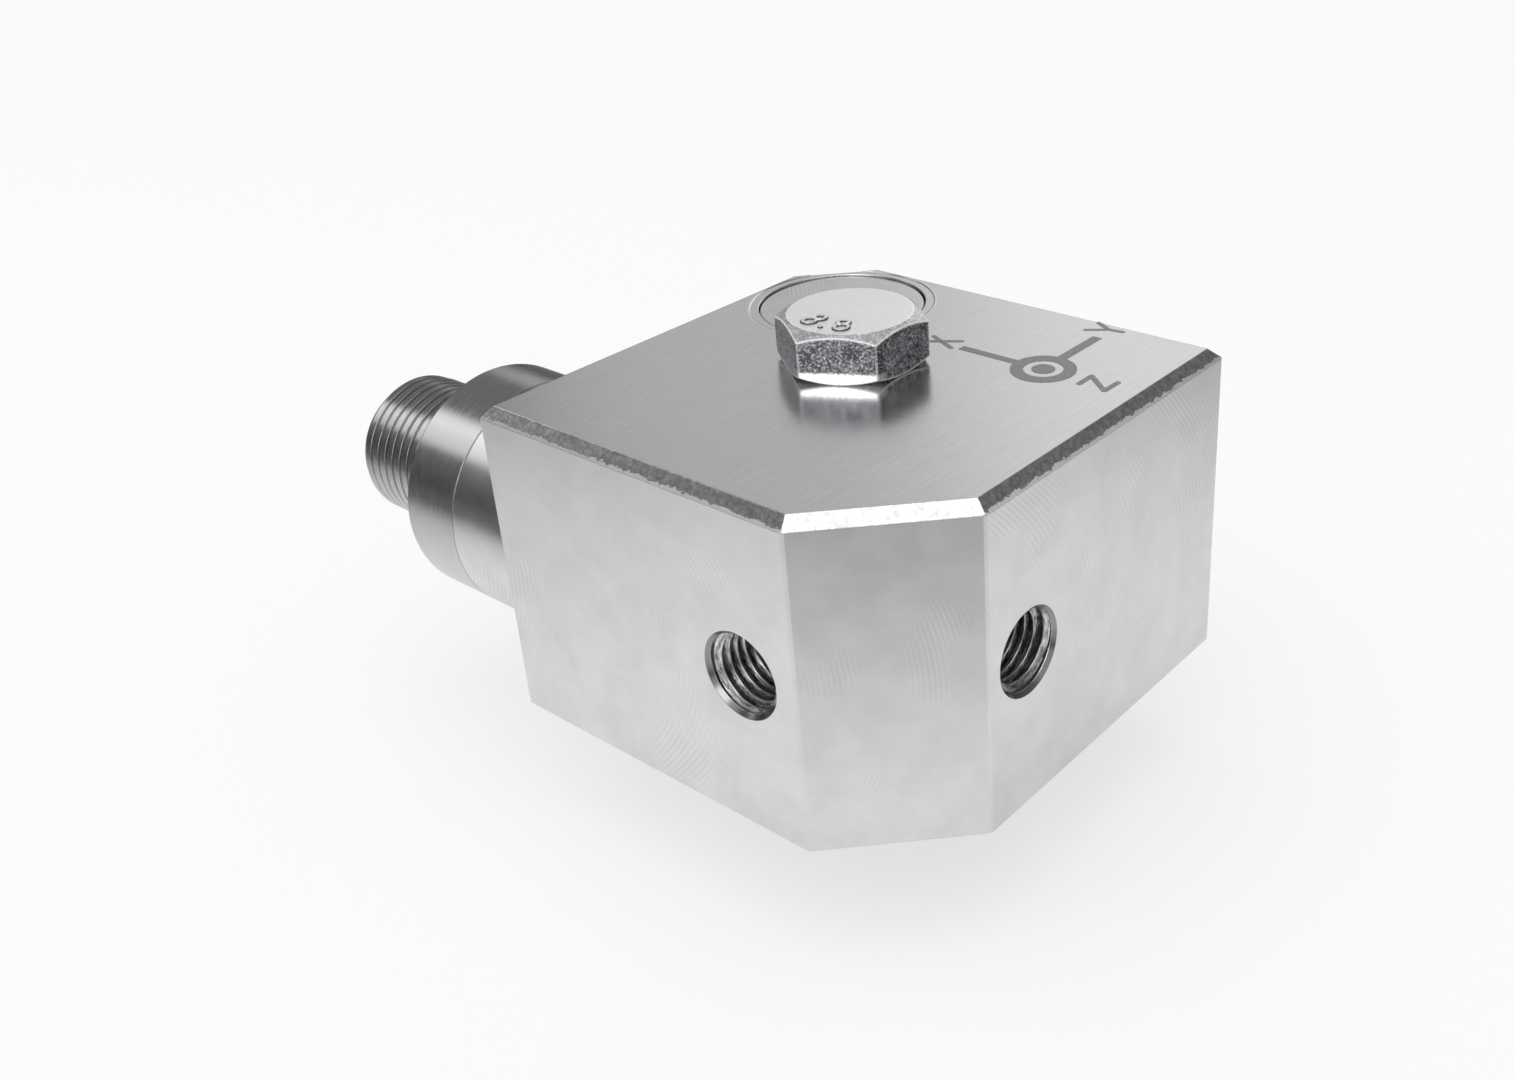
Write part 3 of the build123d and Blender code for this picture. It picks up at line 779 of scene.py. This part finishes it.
# Connector shell: turned flange, relief groove and an M12 x 1 thread on the barrel. Its heights
# run from the seam with the neck towards the barrel's end.
flange_radius = 9.5 * mm
rim_chamfer = 0.4 * mm
spigot_length = 2.0 * mm
spigot_radius = 6.17 * mm
spigot_bore = 5.65 * mm
insert_seat = 1.5 * mm
shell_bore = 4.6 * mm
socket_radius = 4.15 * mm
socket_floor = 8.5 * mm
mouth_chamfer = 0.2 * mm
relief_radius = 5.35 * mm
relief_end = flange_length + 1.0 * mm
barrel_root = 5.70 * mm
barrel_end = 17.5 * mm
connector_shell = new_piece(
    "connector_shell_body",
    place_along(
        lathe([
            (spigot_bore, -spigot_length),
            (spigot_radius, -spigot_length),
            (spigot_radius, 0.0),
            (flange_radius, 0.0),
            (flange_radius, flange_length - rim_chamfer),
            (flange_radius - rim_chamfer, flange_length),
            (relief_radius, flange_length),
            (relief_radius, relief_end),
            (barrel_root, relief_end + 0.1 * mm),
            (barrel_root, barrel_end - 0.3 * mm),
            (barrel_root - 0.1 * mm, barrel_end),
            (socket_radius + mouth_chamfer, barrel_end),
            (socket_radius, barrel_end - mouth_chamfer),
            (socket_radius, socket_floor),
            (shell_bore, socket_floor),
            (shell_bore, insert_seat),
            (spigot_bore, insert_seat),
        ], rounding=0.02 * mm, steps=128),
        (shell_start, connector_y, hole_height), (-1, 0, 0),
    ),
    finishes["turned_steel"], smooth_angle=12.0,
)
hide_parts("connector_shell")
new_piece(
    "connector_thread",
    place_along(
        thread_ridge(
            barrel_root - ridge_sunk, barrel_radius, pitch=1.0 * mm, length=10.25 * mm,
            steps_a_turn=72, crest_share=0.66,
        ),
        (shell_start - relief_end - 0.1 * mm, connector_y, hole_height), (-1, 0, 0),
    ),
    finishes["turned_steel"], smooth_angle=20.0,
)

# Tapped holes: a real M6 x 0.75 thread behind each countersunk mouth
hole_crest = 2.56 * mm
for name, mouth, inward, stretch in (
    ("front_hole_thread", Vector(front_hole_mouth), Vector((0, 1, 0)), (1.1, 8.0, 1.1)),
    ("side_hole_thread", Vector(side_hole_mouth), Vector((-1, 0, 0)), (8.0, 1.1, 1.1)),
):
    ridge = thread_ridge(hole_radius + 0.03 * mm, hole_crest, pitch=0.75 * mm, length=8.6 * mm)
    new_piece(
        name, place_along(ridge, mouth + inward * 0.2 * mm, inward),
        tapped_steel(name + "_steel", stretch), smooth_angle=20.0,
    )


# Axis mark: laser-etched on the top face, as a film a little proud of it. Each stroke is a touch
# thicker than the last, so that no two lie in one plane.
film = 0.015 * mm
film_step = 0.0006 * mm


def etched_stroke(shape, start, end, width, thickness, round_spots):
    """A flat straight stroke between two points, in millimetres, rounded at the given spots."""
    start = Vector((*start, 0)) * mm
    end = Vector((*end, 0)) * mm
    run = end - start
    lift = Vector((0, 0, block_top + thickness / 2))
    stroke = bmesh.ops.create_cube(shape, size=1.0)
    turn = Matrix.Rotation(math.atan2(run.y, run.x), 4, "Z")
    stretch = Matrix.Diagonal((run.length, width * mm, thickness, 1))
    middle = Matrix.Translation((start + end) / 2 + lift)
    bmesh.ops.transform(shape, matrix=middle @ turn @ stretch, verts=stroke["verts"])
    for spot in round_spots:
        bmesh.ops.create_cone(
            shape, cap_ends=True, segments=16, radius1=width * mm / 2, radius2=width * mm / 2,
            depth=thickness - film_step / 2,
            matrix=Matrix.Translation(Vector((*spot, 0)) * mm + lift),
        )


mark_shape = bmesh.new()
axis_arms = [((5.39, 6.09), (10.44, 6.09), 0.72), ((12.74, 8.19), (12.74, 13.29), 0.80)]
letter_strokes = [
    # X
    ((2.29, 6.74), (4.79, 5.64), 0.38), ((2.74, 5.84), (4.69, 7.09), 0.38),
    # Y
    ((11.19, 14.04), (12.64, 15.04), 0.38), ((11.24, 15.79), (12.64, 15.04), 0.38),
    ((12.64, 15.04), (13.74, 15.19), 0.38),
    # Z
    ((16.29, 5.39), (16.29, 6.99), 0.42), ((16.29, 6.99), (18.39, 5.34), 0.42),
    ((18.39, 5.34), (18.44, 7.04), 0.42),
]
# Only letters have round ends, and only one to a spot
rounded_spots = []
for number, (start, end, width) in enumerate(axis_arms + letter_strokes):
    on_letter = number >= len(axis_arms)
    round_spots = [spot for spot in (start, end) if on_letter and spot not in rounded_spots]
    rounded_spots += round_spots
    etched_stroke(mark_shape, start, end, width, film + number * film_step, round_spots)
new_piece("axis_strokes", mark_shape, etched_finish)

ring_centre = Vector((12.74, 6.14, 0)) * mm + Vector((0, 0, block_top))
ring_inner = 1.45 * mm
ring_outer = 2.42 * mm
ring_height = film * 1.5
ring = lathe(
    [(ring_inner, 0), (ring_outer, 0), (ring_outer, ring_height), (ring_inner, ring_height)],
    rounding=0, steps=64,
)
new_piece("axis_ring", place_along(ring, ring_centre, (0, 0, 1)), etched_finish)
dot_radius = 0.87 * mm
dot = bmesh.new()
bmesh.ops.create_cone(
    dot, cap_ends=True, segments=48, radius1=dot_radius, radius2=dot_radius, depth=film,
    matrix=Matrix.Translation(ring_centre + Vector((0, 0, film / 2))),
)
new_piece("axis_dot", dot, etched_finish)


def white_table():
    # Matt white laminate: white to the camera, with the sensor's soft shadow on it. Where the metal
    # mirrors it, it carries a painted pool of light that falls off away from the sensor, and a
    # painted shade on the camera's side of the sensor.
    material, tree, place = new_material("matt_white_laminate")
    table_height = bolt_tip / mm
    away = add_node(tree, "ShaderNodeVectorMath", {
        0: place, 1: (2.0, -2.0, table_height),
    }, operation="DISTANCE")
    # A painted pool of light, seen only in the metal's reflections
    painted_light_falloff = add_node(tree, "ShaderNodeMapRange", {
        "Value": away.outputs["Value"], "From Min": 30.0, "From Max": 190.0,
        "To Min": 1.0, "To Max": 0.15,
    }, interpolation_type="SMOOTHSTEP")
    # A painted shade on the camera's side of the sensor, seen only in the metal's reflections
    distance_to_painted_shade = add_node(tree, "ShaderNodeVectorMath", {
        0: place, 1: (65.0, -58.0, table_height),
    }, operation="DISTANCE")
    painted_shade_level = add_node(tree, "ShaderNodeMapRange", {
        "Value": distance_to_painted_shade.outputs["Value"], "From Min": 8.0, "From Max": 52.0,
        "To Min": 0.70, "To Max": 1.0,
    }, interpolation_type="SMOOTHSTEP")
    level = add_node(tree, "ShaderNodeMath", {0: painted_light_falloff, 1: painted_shade_level}, operation="MULTIPLY")
    mirrored = add_node(tree, "ShaderNodeBsdfDiffuse", {"Color": level})
    plain = add_node(tree, "ShaderNodeBsdfDiffuse", {"Color": to_linear("#f4f4f3")})
    rays = add_node(tree, "ShaderNodeLightPath").outputs
    reflected = add_node(tree, "ShaderNodeMath", {
        0: rays["Is Glossy Ray"], 1: rays["Is Transmission Ray"],
    }, operation="MAXIMUM")
    lit = add_node(tree, "ShaderNodeMixShader", {0: reflected, 1: plain, 2: mirrored})
    white = add_node(tree, "ShaderNodeEmission", {"Color": (1, 1, 1, 1), "Strength": 1.0})
    # To the camera the table is about two thirds plain white, so that the shadow stays soft
    share = add_node(tree, "ShaderNodeMath", {
        0: rays["Is Camera Ray"], 1: 0.64,
    }, operation="MULTIPLY")
    table = add_node(tree, "ShaderNodeMixShader", {0: share, 1: lit, 2: white})
    add_node(tree, "ShaderNodeOutputMaterial", {"Surface": table})
    return material


floor_shape = bmesh.new()
bmesh.ops.create_grid(floor_shape, x_segments=1, y_segments=1, size=3.0)
bmesh.ops.translate(floor_shape, vec=(0, 0, bolt_tip), verts=floor_shape.verts[:])
floor_mesh = bpy.data.meshes.new("floor")
floor_shape.to_mesh(floor_mesh)
floor_shape.free()
floor_mesh.materials.append(white_table())
floor = bpy.data.objects.new("floor", floor_mesh)
bpy.context.scene.collection.objects.link(floor)


def studio():
    """A dim room over the table, as the metal mirrors it: screen, wall, window and lamps."""
    world = bpy.data.worlds.new("studio")
    bpy.context.scene.world = world
    world.use_nodes = True
    tree = world.node_tree
    tree.nodes.clear()
    direction = add_node(tree, "ShaderNodeTexCoord").outputs["Generated"]
    height = add_node(tree, "ShaderNodeSeparateXYZ", {0: direction}).outputs["Z"]
    climb = add_node(tree, "ShaderNodeMapRange", {
        "Value": height, "From Min": 0.12, "From Max": 0.38,
    })
    sky = add_node(tree, "ShaderNodeMix", {
        0: climb, 6: to_linear("#5a5a5b"), 7: to_linear("#818182"),
    }, data_type="RGBA").outputs[2]
    # Round pale areas: where each one is, up to how many degrees from there it is full, at how
    # many it ends, and how bright it is
    for aim, full, end, grey in (
        # Wide screen on the camera's side
        ((0.62, -0.68, 0.38), 40, 70, 0.7),
        # Darker and lighter parts of the wall across from the camera
        ((-0.59, 0.705, 0.39), 11, 18, 0.62),
        ((-0.25, 0.95, 0.38), 15, 27, 1.0),
        # Lamp beyond the connector, with a dimmer middle
        ((-0.78, -0.30, 0.55), 6, 14, 1.5),
        ((-0.77, -0.41, 0.49), 3, 9, 1.2),
        # Soft box overhead, and a brighter lamp beside it
        ((0.14, -0.36, 0.922), 33, 42, 0.85),
        ((0.42, -0.42, 0.80), 12, 26, 2.1),
        # Window in front
        ((0.25, -0.86, 0.45), 10, 20, 2.9),
    ):
        aimed = add_node(tree, "ShaderNodeVectorMath", {
            0: direction, 1: tuple(Vector(aim).normalized()),
        }, operation="DOT_PRODUCT").outputs["Value"]
        area = add_node(tree, "ShaderNodeMapRange", {
            "Value": aimed, "From Min": math.cos(math.radians(end)),
            "From Max": math.cos(math.radians(full)),
        }, interpolation_type="SMOOTHSTEP")
        sky = add_node(tree, "ShaderNodeMix", {
            0: area, 6: sky, 7: (grey, grey, grey, 1.0),
        }, data_type="RGBA").outputs[2]
    mirrored = add_node(tree, "ShaderNodeBackground", {"Color": sky, "Strength": 1.0})
    plain = add_node(tree, "ShaderNodeBackground", {"Color": (1, 1, 1, 1), "Strength": 0.55})
    seen = add_node(tree, "ShaderNodeBackground", {"Color": (1, 1, 1, 1), "Strength": 1.0})
    rays = add_node(tree, "ShaderNodeLightPath").outputs
    reflected = add_node(tree, "ShaderNodeMath", {
        0: rays["Is Glossy Ray"], 1: rays["Is Transmission Ray"],
    }, operation="MAXIMUM")
    lit = add_node(tree, "ShaderNodeMixShader", {0: reflected, 1: plain, 2: mirrored})
    shown = add_node(tree, "ShaderNodeMixShader", {0: rays["Is Camera Ray"], 1: lit, 2: seen})
    add_node(tree, "ShaderNodeOutputWorld", {"Surface": shown})


studio()

# Soft box overhead, for the shadow on the table
lamp = bpy.data.lights.new("soft_box", "AREA")
lamp.shape = "DISK"
lamp.size = 2.25
lamp.energy = 17.0
lamp_distance = 1.5
lamp_side = Vector((0.0, -0.30, 0.954)).normalized()
soft_box = bpy.data.objects.new("soft_box", lamp)
soft_box.location = lamp_side * lamp_distance
soft_box.rotation_euler = lamp_side.to_track_quat("Z", "Y").to_euler()
soft_box.visible_glossy = False
bpy.context.scene.collection.objects.link(soft_box)

# Camera, at the photograph's place; the small shift is its framing
camera_data = bpy.data.cameras.new("camera")
camera_data.sensor_width = 36.0
camera_data.lens = 37.08
camera_data.shift_x = -0.09475
camera_data.shift_y = -0.05327
camera_data.clip_start = 0.005
camera = bpy.data.objects.new("camera", camera_data)
camera.location = (0.07128, -0.07906, 0.07013)
camera.rotation_euler = tuple(math.radians(angle) for angle in (63.4076, 2.4405, 39.1032))
bpy.context.scene.collection.objects.link(camera)
bpy.context.scene.camera = camera
bpy.context.scene.view_settings.view_transform = "Standard"
